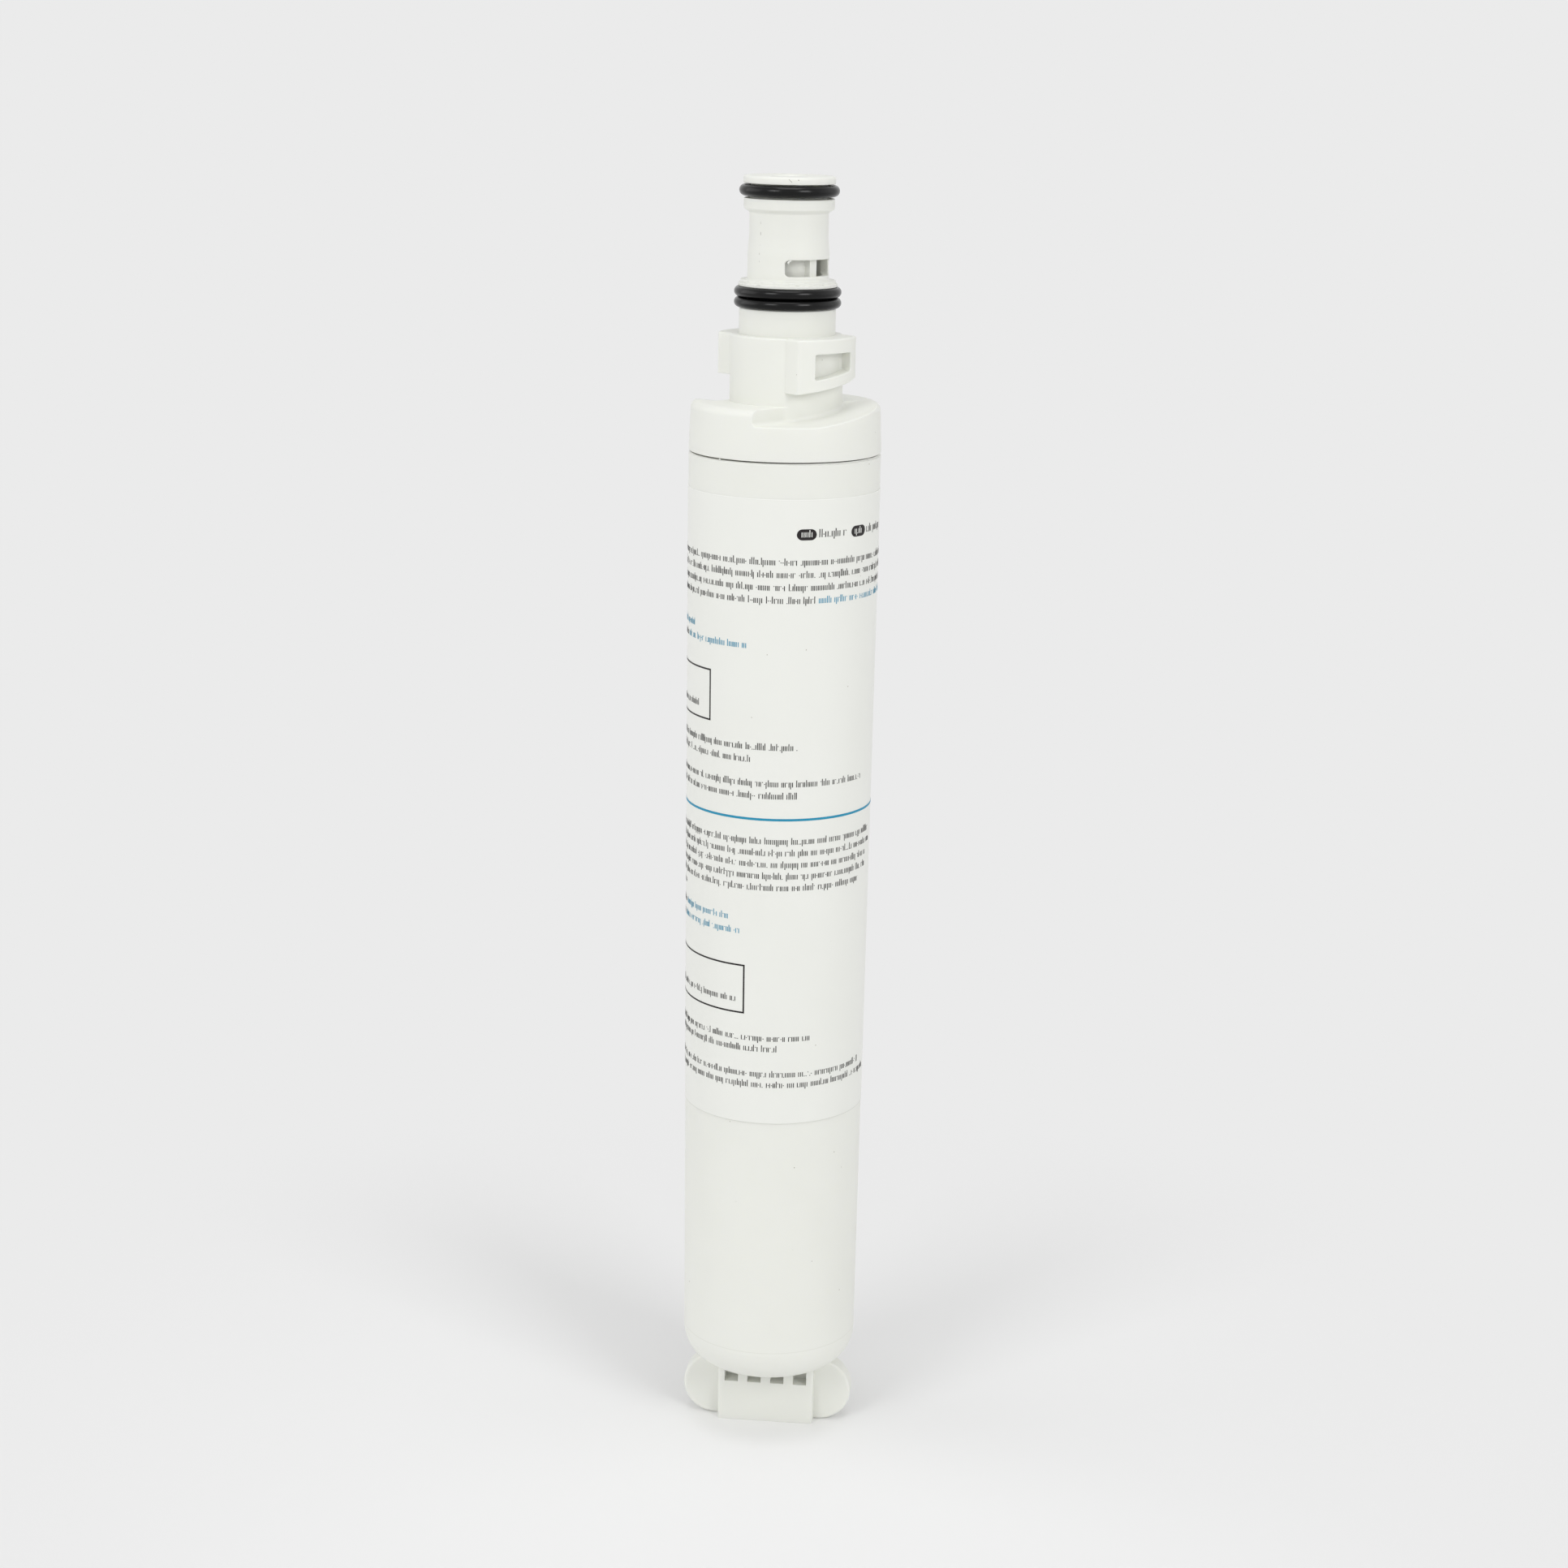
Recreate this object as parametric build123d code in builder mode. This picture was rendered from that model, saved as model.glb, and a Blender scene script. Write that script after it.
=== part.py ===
from build123d import *
import os

# Quarter-turn water filter cartridge, in millimetres. The Z axis is the cartridge's own axis, nozzle upward.
# The origin is on that axis, at the flat shoulder of the head that the bayonet lugs stand over.

# Head, from the shoulder down: a drafted skirt, welded to the sump by a tongue in a groove
skirt_overhang = 0.05
skirt_draft = 0.55
skirt_height = 13.1
skirt_edge_round = 0.25
shoulder_round = 2.0
head_wall = 2.5
spigot_depth = 6.5
spigot_wall = 2.0
seam_gap = 0.5
weld_tongue_thickness = 0.9
weld_tongue_height = 3.0
weld_clearance = 0.05

# Head, from the shoulder up: neck, stem, lower seal groove, barrel, collar, upper seal groove, top flange
neck_radius = 14.9
neck_height = 17.55
neck_edge_round = 0.5
stem_radius = 12.7
stem_height = 6.8
lower_flange_radius = 13.0
lower_flange_height = 0.9
flange_step_radius = 12.5
flange_step_height = 0.8
barrel_foot_radius = 10.7
barrel_foot_height = 6.9
barrel_cone_height = 4.0
barrel_head_radius = 10.35
barrel_head_height = 6.4
barrel_blend = 12.0
collar_radius = 11.85
collar_bevel = 0.9
collar_bevel_round = 0.5
collar_height = 2.7
top_flange_radius = 12.05
top_flange_height = 2.0
top_flange_round = 0.7
groove_edge_round = 0.2

# Bayonet lugs and the ramps that face them, both formed by two side slides that pull straight out
slide_azimuth = -44.5
lug_half_width = 10.8
lug_radius = 18.35
lug_drop = 14.15
bayonet_slope = 0.153
lug_edge_round = 0.7
lug_under_round = 0.2
lug_root_round = 0.8
pocket_half_width = 6.5
pocket_top_margin = 3.8
pocket_floor_margin = 2.9
pocket_back = 14.0
pocket_corner = 0.6
pocket_rim_round = 0.25
recess_depth = 4.2
recess_wall = 10.4
recess_blend = 4.0
recess_floor_round = 1.0
ramp_blend = 20.0
recess_edge_round = 0.3

# Water ways: raw water enters by the windows and falls round the outlet tube, clean water leaves up the tube
window_half_width = 7.9
window_height = 4.3
window_sill = 1.3
window_corner = 0.9
window_rim_round = 0.25
inlet_radius = 8.9
tube_radius = 7.3
tube_drop = 16.0
outlet_radius = 4.6
outlet_mouth_chamfer = 0.6
socket_radius = 5.2
socket_depth = 22.0
web_thickness = 2.4
web_reach = 9.1

# O-rings: section diameter and the radius of the groove floor that each one sits on. The upper one has room
# to spare in its groove, below it and above it.
upper_ring_section = 3.0
upper_groove_radius = 10.07
upper_ring_room_below = 0.47
upper_ring_room_above = 0.3
lower_ring_section = 2.75
lower_groove_radius = 11.3
spigot_ring_section = 1.4
ring_clearance = 0.03

# Sump: a drafted cup with a rounded base and a turning grip. The taper is the gain in radius at the rim.
sump_base_radius = 24.1
sump_taper = 1.4
sump_taper_length = 248.5
sump_base_round = 9.6
sump_wall = 2.5
sump_floor = 3.0
rim_round = 0.4

# Turning grip: a flat fin with round ends, thickened by a block that is cored out by rows of pockets
grip_inset = 0.25
grip_height = 18.2
grip_turn = -6.0
fin_thickness = 6.0
fin_edge_round = 0.8
block_thickness = 13.0
block_margin = 1.9
block_edge_round = 0.8
core_count = 4
core_width = 3.8
core_pitch = 6.5
core_height = 6.5
core_depth = 4.5

# Label: a film wrapped round the sump
label_gap = 9.5
label_height = 170.9
label_thickness = 0.12

# Filter element inside: carbon block, sleeve and two end caps, clear of the sump's wall
element_clearance = 1.15
block_bore = 5.5
sleeve_thickness = 0.8
cap_clearance = 0.05
cap_wall = 1.0
cap_disc = 2.0
cap_skirt = 4.0
cap_boss_height = 7.8
cap_seat_clearance = 0.2
cap_spigot_clearance = 0.25
cap_spigot_length = 20.0
cap_spigot_bore = 2.6
spigot_groove_drop = 11.0
foot_count = 4
foot_height = 4.5
foot_thickness = 2.0
foot_inner_radius = 4.0
foot_margin = 2.0

# How closely an edge has to lie where it is looked for
match_tolerance = 0.02

# Levels of the nozzle, upward from the shoulder
stem_top = neck_height + stem_height
lower_groove_top = stem_top + 2 * lower_ring_section + 3 * ring_clearance
lower_flange_top = lower_groove_top + lower_flange_height
flange_step_top = lower_flange_top + flange_step_height
barrel_cone_start = flange_step_top + barrel_foot_height
barrel_cone_end = barrel_cone_start + barrel_cone_height
barrel_top = barrel_cone_end + barrel_head_height
collar_bottom = barrel_top + collar_bevel
collar_top = collar_bottom + collar_height
upper_ring_bottom = collar_top + upper_ring_room_below
upper_groove_top = upper_ring_bottom + upper_ring_section + upper_ring_room_above
nozzle_top = upper_groove_top + top_flange_height

# Levels of the head and sump, downward from the shoulder
cavity_top = -recess_depth - head_wall
skirt_bottom = -skirt_height
spigot_bottom = skirt_bottom - spigot_depth
sump_rim = skirt_bottom - seam_gap
tongue_top = sump_rim + weld_tongue_height
base_start = sump_rim - sump_taper_length
base_bottom = base_start - sump_base_round
floor_top = base_bottom + sump_floor
grip_bottom = base_bottom - grip_height

# Radii that follow from those of neighbours
sump_rim_radius = sump_base_radius + sump_taper
skirt_radius = sump_rim_radius + skirt_overhang
shoulder_radius = skirt_radius - skirt_draft
rim_bore = sump_rim_radius - sump_wall
tongue_radius = rim_bore + weld_tongue_thickness
spigot_radius = rim_bore - weld_clearance
spigot_bore = spigot_radius - spigot_wall
neck_bore = neck_radius - head_wall
neck_roof = neck_height - head_wall
base_bore = sump_base_radius - sump_wall
floor_round = sump_base_round - sump_floor
foot_outer_radius = base_bore - floor_round - foot_margin
cap_radius = base_bore - element_clearance
cap_bore = cap_radius - cap_wall
sleeve_radius = cap_bore - cap_clearance
block_radius = sleeve_radius - sleeve_thickness
grip_width = 2 * (sump_base_radius - grip_inset)

# The two slides face opposite ways. On each plane, X runs across the slide, Y runs up the cartridge and the
# normal is the way that the slide is pulled.
slide_planes = [
    Plane(
        origin=(0, 0, 0),
        x_dir=Vector(0, 1, 0).rotate(Axis.Z, slide_azimuth + turn),
        z_dir=Vector(1, 0, 0).rotate(Axis.Z, slide_azimuth + turn),
    )
    for turn in (0, 180)
]


def lug_underside(across):
    """Height of the sloping underside of a lug, at a distance across the slide."""
    return neck_height - lug_drop + bayonet_slope * (across + lug_half_width)


def axis_distance(point):
    """Distance of a point from the cartridge's axis."""
    return Vector(point.X, point.Y, 0).length


def is_at_radius(edge, radius):
    """Whether the middle of an edge lies on a cylinder round the axis."""
    return abs(axis_distance(edge @ 0.5) - radius) < match_tolerance


def sump_radius(level):
    """Outer radius of the drafted sump wall at a level between its rim and its rounded base."""
    share = (sump_rim - level) / sump_taper_length
    return sump_rim_radius + share * (sump_base_radius - sump_rim_radius)


# Bayonet lugs, with a moulded pocket in each outer face
with BuildPart() as lugs:
    for slide in slide_planes:
        with BuildSketch(slide):
            with BuildLine():
                Polyline(
                    (-lug_half_width, lug_underside(-lug_half_width)),
                    (lug_half_width, lug_underside(lug_half_width)),
                    (lug_half_width, neck_height),
                    (-lug_half_width, neck_height),
                    close=True,
                )
            make_face()
        extrude(amount=lug_radius)
    Cylinder(lug_radius, neck_height, align=(Align.CENTER, Align.CENTER, Align.MIN), mode=Mode.INTERSECT)
    outer_corners = lugs.edges().filter_by(Axis.Z).filter_by(
        lambda edge: axis_distance(edge.center()) > neck_radius
    )
    fillet(outer_corners, lug_edge_round)
    for slide in slide_planes:
        with BuildSketch(slide.offset(pocket_back)):
            with BuildLine():
                Polyline(
                    (-pocket_half_width, lug_underside(-pocket_half_width) + pocket_floor_margin),
                    (pocket_half_width, lug_underside(pocket_half_width) + pocket_floor_margin),
                    (pocket_half_width, neck_height - pocket_top_margin),
                    (-pocket_half_width, neck_height - pocket_top_margin),
                    close=True,
                )
            make_face()
            fillet(vertices(), pocket_corner)
        extrude(amount=lug_radius, mode=Mode.SUBTRACT)
        pocket_rim = lugs.edges(Select.LAST).filter_by(lambda edge: is_at_radius(edge, lug_radius))
        fillet(pocket_rim, pocket_rim_round)

# Neck, with the lugs blended into it and rounded over with its top edge
with BuildPart() as neck:
    with BuildSketch(Plane.XY.offset(cavity_top)):
        Circle(neck_radius)
    extrude(amount=neck_height - cavity_top)
    add(lugs.part)
    lug_roots = neck.edges().filter_by(Axis.Z).filter_by(
        lambda edge: is_at_radius(edge, neck_radius) and edge.length < neck_height
    )
    fillet(lug_roots, lug_root_round)
    fillet(neck.faces().sort_by(Axis.Z)[-1].edges(), neck_edge_round)
    undersides = neck.faces().filter_by(GeomType.PLANE).filter_by(
        lambda face: face.normal_at().Z < -0.5 and 0 < face.center().Z < neck_height
    )
    under_edges = undersides.edges().filter_by(
        lambda edge: axis_distance(edge @ 0.5) > neck_radius + lug_root_round
    )
    fillet(under_edges, lug_under_round)

# Ramp recess in the shoulder, parallel to the underside of a lug. Its wall runs smoothly into the neck.
ramp_top = bayonet_slope * (skirt_radius + lug_half_width) - recess_depth
with BuildPart() as recess:
    with BuildSketch(slide_planes[0]):
        with BuildLine():
            Polyline(
                (-skirt_radius, -recess_depth),
                (-lug_half_width, -recess_depth),
                (skirt_radius, ramp_top),
                (skirt_radius, recess_depth),
                (-skirt_radius, recess_depth),
                close=True,
            )
        make_face()
        fillet(vertices().sort_by_distance((-lug_half_width, -recess_depth))[0], ramp_blend)
    extrude(amount=recess_wall + skirt_radius)
    with BuildSketch(Plane(origin=(0, 0, -recess_depth), x_dir=slide_planes[0].z_dir, z_dir=(0, 0, 1))):
        with Locations((recess_wall, 0)):
            Rectangle(skirt_radius, 2 * skirt_radius, align=(Align.MIN, Align.CENTER))
        Circle(neck_radius, mode=Mode.SUBTRACT)
        wall_ends = vertices().filter_by(lambda end: abs(axis_distance(end) - neck_radius) < match_tolerance)
        fillet(wall_ends, recess_blend)
    extrude(amount=2 * recess_depth, mode=Mode.INTERSECT)
    recess_foot = recess.faces().filter_by(lambda face: face.normal_at().Z < -0.5).edges().filter_by(
        lambda edge: axis_distance(edge @ 0.5) < shoulder_radius
    )
    fillet(recess_foot, recess_floor_round)

# Head, one moulding
with BuildPart() as head:
    # Skirt and shoulder
    with BuildSketch(Plane.XZ):
        with BuildLine():
            Polyline(
                (0, 0), (shoulder_radius, 0), (skirt_radius, skirt_bottom), (0, skirt_bottom), close=True
            )
        make_face()
        fillet(vertices().sort_by_distance((shoulder_radius, 0))[0], shoulder_round)
        fillet(vertices().sort_by_distance((skirt_radius, skirt_bottom))[0], skirt_edge_round)
    revolve(axis=Axis.Z)

    # Both ramp recesses
    for turn in (0, 180):
        add(recess.part, rotation=(0, 0, turn), mode=Mode.SUBTRACT)
    recess_floors = head.faces().filter_by(GeomType.PLANE).filter_by(
        lambda face: face.normal_at().Z > 0.5 and face.center().Z < -match_tolerance
    )
    recess_edges = recess_floors.edges().filter_by(
        lambda edge: axis_distance(edge @ 0.5) > shoulder_radius - shoulder_round
    )
    fillet(recess_edges, recess_edge_round)

    # Stem and nozzle, then the neck round its foot
    with BuildSketch(Plane.XZ):
        with BuildLine():
            Polyline(
                (0, neck_roof),
                (stem_radius, neck_roof),
                (stem_radius, stem_top),
                (lower_groove_radius, stem_top),
                (lower_groove_radius, lower_groove_top),
                (lower_flange_radius, lower_groove_top),
                (lower_flange_radius, lower_flange_top),
                (flange_step_radius, lower_flange_top),
                (flange_step_radius, flange_step_top),
                (barrel_foot_radius, flange_step_top),
                (barrel_foot_radius, barrel_cone_start),
                (barrel_head_radius, barrel_cone_end),
                (barrel_head_radius, barrel_top),
                (collar_radius, collar_bottom),
                (collar_radius, collar_top),
                (upper_groove_radius, collar_top),
                (upper_groove_radius, upper_groove_top),
                (top_flange_radius, upper_groove_top),
                (top_flange_radius, nozzle_top),
                (0, nozzle_top),
                close=True,
            )
        make_face()
        for corner, corner_round in (
            ((stem_radius, stem_top), groove_edge_round),
            ((lower_flange_radius, lower_groove_top), groove_edge_round),
            ((lower_flange_radius, lower_flange_top), groove_edge_round),
            ((flange_step_radius, flange_step_top), groove_edge_round),
            ((barrel_foot_radius, flange_step_top), collar_bevel_round),
            ((barrel_foot_radius, barrel_cone_start), barrel_blend),
            ((barrel_head_radius, barrel_cone_end), barrel_blend),
            ((barrel_head_radius, barrel_top), collar_bevel_round),
            ((collar_radius, collar_bottom), collar_bevel_round),
            ((collar_radius, collar_top), groove_edge_round),
            ((top_flange_radius, upper_groove_top), groove_edge_round),
            ((top_flange_radius, nozzle_top), top_flange_round),
        ):
            fillet(vertices().sort_by_distance(corner)[0], corner_round)
    revolve(axis=Axis.Z)

    add(neck.part)

    # Weld spigot that plugs into the sump, and the groove beside it for the sump's tongue
    with BuildSketch(Plane.XY.offset(skirt_bottom)):
        Circle(spigot_radius)
    extrude(amount=-spigot_depth)
    with BuildSketch(Plane.XY.offset(tongue_top)):
        Circle(tongue_radius + weld_clearance)
        Circle(spigot_radius, mode=Mode.SUBTRACT)
    extrude(amount=skirt_bottom - tongue_top, mode=Mode.SUBTRACT)

    # Hollow inside, open downward
    with BuildSketch(Plane.XZ):
        with BuildLine():
            Polyline(
                (0, spigot_bottom),
                (spigot_bore, spigot_bottom),
                (spigot_bore, cavity_top),
                (neck_bore, cavity_top),
                (neck_bore, neck_roof),
                (inlet_radius, neck_roof),
                (inlet_radius, barrel_top),
                (0, barrel_top),
                close=True,
            )
        make_face()
    revolve(axis=Axis.Z, mode=Mode.SUBTRACT)

    # Inlet windows through the barrel
    for slide in slide_planes:
        with BuildSketch(slide):
            with Locations((0, flange_step_top + window_sill + window_height / 2)):
                RectangleRounded(2 * window_half_width, window_height, window_corner)
        extrude(amount=stem_radius, mode=Mode.SUBTRACT)
        window_rim = head.edges(Select.LAST).filter_by(lambda edge: is_at_radius(edge, barrel_foot_radius))
        fillet(window_rim, window_rim_round)

    # Outlet tube, held in the barrel by a web on each side
    with BuildSketch(Plane.XY.offset(-tube_drop)):
        Circle(tube_radius)
    extrude(amount=tube_drop + collar_bottom)
    with BuildSketch(Plane.XY.offset(neck_roof)):
        Rectangle(2 * web_reach, web_thickness, rotation=slide_azimuth)
    extrude(amount=collar_bottom - neck_roof)
    with BuildSketch(Plane.XY.offset(nozzle_top)):
        Circle(outlet_radius)
    extrude(amount=-nozzle_top - tube_drop, mode=Mode.SUBTRACT)
    with BuildSketch(Plane.XY.offset(-tube_drop)):
        Circle(socket_radius)
    extrude(amount=socket_depth, mode=Mode.SUBTRACT)
    mouth = head.edges().filter_by(GeomType.CIRCLE).group_by(Axis.Z)[-1].sort_by(SortBy.RADIUS)[0]
    chamfer(mouth, outlet_mouth_chamfer)
head.part.label = "head"

# Turning grip under the sump: a fin with rounded rims, then the cored block across its middle
with BuildPart() as grip:
    grip_plane = Plane(
        origin=(0, 0, grip_bottom + grip_height / 2),
        x_dir=Vector(1, 0, 0).rotate(Axis.Z, grip_turn),
        z_dir=Vector(0, -1, 0).rotate(Axis.Z, grip_turn),
    )
    with BuildSketch(grip_plane):
        SlotOverall(grip_width, grip_height)
    extrude(amount=fin_thickness / 2, both=True)
    fin_sides = grip.faces().sort_by(SortBy.AREA)[-2:]
    fillet(fin_sides.edges(), fin_edge_round)
    block_width = (core_count - 1) * core_pitch + core_width + 2 * block_margin
    with BuildSketch(Plane.XY.offset(grip_bottom)):
        RectangleRounded(block_width, block_thickness, block_edge_round, rotation=grip_turn)
    extrude(amount=grip_height + sump_floor / 2)
    with BuildSketch(Plane.XY.offset(base_bottom)):
        with Locations(Location((0, 0, 0), (0, 0, grip_turn))):
            with GridLocations(core_pitch, block_thickness - core_depth, core_count, 2):
                Rectangle(core_width, core_depth)
    extrude(amount=-core_height, mode=Mode.SUBTRACT)

# Sump, one moulding
with BuildPart() as sump:
    # Drafted cup with a rounded base, and the grip below it
    with BuildSketch(Plane.XZ):
        with BuildLine():
            Polyline(
                (sump_base_radius - sump_base_round, base_bottom),
                (0, base_bottom),
                (0, sump_rim),
                (sump_rim_radius, sump_rim),
                (sump_base_radius, base_start),
            )
            CenterArc((sump_base_radius - sump_base_round, base_start), sump_base_round, -90, 90)
        make_face()
        fillet(vertices().sort_by_distance((sump_rim_radius, sump_rim))[0], rim_round)
    revolve(axis=Axis.Z)
    add(grip.part)

    # Hollow inside
    with BuildSketch(Plane.XZ):
        with BuildLine():
            Polyline(
                (base_bore - floor_round, floor_top),
                (0, floor_top),
                (0, sump_rim),
                (rim_bore, sump_rim),
                (base_bore, base_start),
            )
            CenterArc((base_bore - floor_round, base_start), floor_round, -90, 90)
        make_face()
    revolve(axis=Axis.Z, mode=Mode.SUBTRACT)

    # Weld tongue on the rim
    with BuildSketch(Plane.XY.offset(sump_rim)):
        Circle(tongue_radius)
        Circle(rim_bore, mode=Mode.SUBTRACT)
    extrude(amount=weld_tongue_height)
sump.part.label = "sump"

# Label film
label_top = skirt_bottom - label_gap
label_bottom = label_top - label_height
with BuildPart() as label:
    with BuildSketch(Plane.XZ):
        with BuildLine():
            Polyline(
                (sump_radius(label_top), label_top),
                (sump_radius(label_top) + label_thickness, label_top),
                (sump_radius(label_bottom) + label_thickness, label_bottom),
                (sump_radius(label_bottom), label_bottom),
                close=True,
            )
        make_face()
    revolve(axis=Axis.Z)
label.part.label = "label"

# O-rings on the nozzle: one above, two side by side below
with BuildPart() as upper_o_ring:
    with Locations((0, 0, upper_ring_bottom + upper_ring_section / 2)):
        Torus(upper_groove_radius + ring_clearance + upper_ring_section / 2, upper_ring_section / 2)
upper_o_ring.part.label = "upper_o_ring"

lower_ring_radius = lower_groove_radius + ring_clearance + lower_ring_section / 2
lower_ring_level = stem_top + ring_clearance + lower_ring_section / 2
with BuildPart() as lower_o_ring:
    with Locations((0, 0, lower_ring_level)):
        Torus(lower_ring_radius, lower_ring_section / 2)
lower_o_ring.part.label = "lower_o_ring"

with BuildPart() as middle_o_ring:
    with Locations((0, 0, lower_ring_level + lower_ring_section + ring_clearance)):
        Torus(lower_ring_radius, lower_ring_section / 2)
middle_o_ring.part.label = "middle_o_ring"

# Levels of the filter element: it stands on the sump floor and stops just under the outlet tube
cap_boss_top = -tube_drop - cap_seat_clearance
top_disc_top = cap_boss_top - cap_boss_height
block_top = top_disc_top - cap_disc
bottom_disc_bottom = floor_top + foot_height
block_bottom = bottom_disc_bottom + cap_disc

with BuildPart() as carbon_block:
    with BuildSketch(Plane.XY.offset(block_bottom)):
        Circle(block_radius)
        Circle(block_bore, mode=Mode.SUBTRACT)
    extrude(amount=block_top - block_bottom)
carbon_block.part.label = "carbon_block"

with BuildPart() as prefilter_sleeve:
    with BuildSketch(Plane.XY.offset(block_bottom)):
        Circle(sleeve_radius)
        Circle(block_radius, mode=Mode.SUBTRACT)
    extrude(amount=block_top - block_bottom)
prefilter_sleeve.part.label = "prefilter_sleeve"

# Top end cap: a shallow cup over the block, with a boss and a grooved spigot for the outlet tube
cap_spigot_radius = socket_radius - cap_spigot_clearance
spigot_groove_radius = socket_radius - spigot_ring_section - 2 * ring_clearance
spigot_groove_height = spigot_ring_section + 2 * ring_clearance
spigot_groove_top = cap_boss_top + cap_spigot_length - spigot_groove_drop
with BuildPart() as top_end_cap:
    with BuildSketch(Plane.XY.offset(block_top - cap_skirt)):
        Circle(cap_radius)
    extrude(amount=cap_skirt + cap_disc)
    with BuildSketch(Plane.XY.offset(block_top - cap_skirt)):
        Circle(cap_bore)
    extrude(amount=cap_skirt, mode=Mode.SUBTRACT)
    with BuildSketch(Plane.XY.offset(top_disc_top)):
        Circle(tube_radius)
    extrude(amount=cap_boss_height)
    with BuildSketch(Plane.XY.offset(cap_boss_top)):
        Circle(cap_spigot_radius)
    extrude(amount=cap_spigot_length)
    with BuildSketch(Plane.XY.offset(spigot_groove_top)):
        Circle(cap_spigot_radius)
        Circle(spigot_groove_radius, mode=Mode.SUBTRACT)
    extrude(amount=-spigot_groove_height, mode=Mode.SUBTRACT)
    Hole(cap_spigot_bore)
top_end_cap.part.label = "top_end_cap"

with BuildPart() as spigot_o_ring:
    with Locations((0, 0, spigot_groove_top - spigot_groove_height / 2)):
        Torus(spigot_groove_radius + ring_clearance + spigot_ring_section / 2, spigot_ring_section / 2)
spigot_o_ring.part.label = "spigot_o_ring"

# Bottom end cap: a shallow cup under the block, on radial feet
with BuildPart() as bottom_end_cap:
    with BuildSketch(Plane.XY.offset(bottom_disc_bottom)):
        Circle(cap_radius)
    extrude(amount=cap_disc + cap_skirt)
    with BuildSketch(Plane.XY.offset(block_bottom)):
        Circle(cap_bore)
    extrude(amount=cap_skirt, mode=Mode.SUBTRACT)
    with BuildSketch(Plane.XY.offset(floor_top)):
        with PolarLocations((foot_inner_radius + foot_outer_radius) / 2, foot_count):
            Rectangle(foot_outer_radius - foot_inner_radius, foot_thickness)
    extrude(amount=foot_height)
bottom_end_cap.part.label = "bottom_end_cap"

os.makedirs("parts", exist_ok=True)
for piece in (
    head,
    sump,
    label,
    upper_o_ring,
    middle_o_ring,
    lower_o_ring,
    carbon_block,
    prefilter_sleeve,
    top_end_cap,
    spigot_o_ring,
    bottom_end_cap,
):
    export_step(piece.part, f"parts/{piece.part.label}.step")
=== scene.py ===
# %% [markdown]
# # A quarter-turn water filter cartridge
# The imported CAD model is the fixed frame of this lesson: eleven solids at their real size, in metres,
# with the Z axis along the cartridge and the origin at the shoulder of its head. Blender adds what solids
# don't have: the finish of each surface, the print on the label, the small marks that moulding and
# handling leave, and light. Loading the frame first means that every later piece can take its place from
# it.

# %% Load the frame
import math
import random

import bpy
from mathutils import Matrix, Vector


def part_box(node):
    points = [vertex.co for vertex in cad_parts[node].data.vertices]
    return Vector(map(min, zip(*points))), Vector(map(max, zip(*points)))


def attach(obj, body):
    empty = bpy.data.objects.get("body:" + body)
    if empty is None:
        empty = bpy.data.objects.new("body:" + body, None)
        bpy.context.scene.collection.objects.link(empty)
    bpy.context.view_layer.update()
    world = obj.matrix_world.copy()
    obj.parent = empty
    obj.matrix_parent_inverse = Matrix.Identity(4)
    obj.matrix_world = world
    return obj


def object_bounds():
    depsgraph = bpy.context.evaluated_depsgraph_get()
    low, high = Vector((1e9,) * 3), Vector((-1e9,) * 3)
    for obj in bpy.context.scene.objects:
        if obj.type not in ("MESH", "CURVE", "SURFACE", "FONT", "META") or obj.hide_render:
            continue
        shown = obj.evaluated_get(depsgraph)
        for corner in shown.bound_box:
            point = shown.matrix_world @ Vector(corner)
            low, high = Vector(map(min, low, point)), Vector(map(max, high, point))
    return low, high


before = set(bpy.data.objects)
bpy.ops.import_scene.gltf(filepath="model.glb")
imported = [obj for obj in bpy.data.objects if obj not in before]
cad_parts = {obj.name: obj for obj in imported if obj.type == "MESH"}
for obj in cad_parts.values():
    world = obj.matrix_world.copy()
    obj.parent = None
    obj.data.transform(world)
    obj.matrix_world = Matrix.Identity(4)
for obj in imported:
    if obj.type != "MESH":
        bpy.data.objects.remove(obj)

cad_low, cad_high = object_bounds()
print("CAD box in metres:", [round(side, 4) for side in cad_high - cad_low])

# %% [markdown]
# ## Units and selection
# Blender works in metres, but a cartridge is easier to think of in millimetres, so one value turns one
# into the other. Operators act on whatever is selected, and the loaded solids still are, so two small
# helpers come first: one clears the selection, and one picks vertices in edit mode by where they lie.

# %% Units and selection
MM = 0.001


def deselect_all():
    if bpy.context.object and bpy.context.object.mode != "OBJECT":
        bpy.ops.object.mode_set(mode="OBJECT")
    bpy.ops.object.select_all(action="DESELECT")


def pick_vertices(piece, test):
    """Selects, in edit mode, the vertices of a piece whose coordinates pass a test."""
    bpy.ops.object.mode_set(mode="OBJECT")
    for part in (piece.data.vertices, piece.data.edges, piece.data.polygons):
        part.foreach_set("select", [False] * len(part))
    for vertex in piece.data.vertices:
        vertex.select = test(vertex.co)
    bpy.ops.object.mode_set(mode="EDIT")
    bpy.ops.mesh.select_mode(type="VERT")


deselect_all()
print("1 mm is", MM, "Blender units")

# %% [markdown]
# ## Camera
# The photograph was taken from a little above the nozzle with a long lens, looking down by about 14
# degrees, and the cartridge leans slightly to the right in it. A camera can be placed by eye, but here it
# was solved from the ellipses of the seals and of the label's edges, so its place is given in numbers.
# The lens follows from the focal length in pixels, because the sensor's width stands for the photograph's
# width.

# %% Camera
photo_width_pixels = 1932
focal_length_pixels = 3700
camera_place = Vector((1.44, -794.0, 92.15)) * MM
look_down = math.radians(13.9)
lean = math.radians(1.08)

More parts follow.
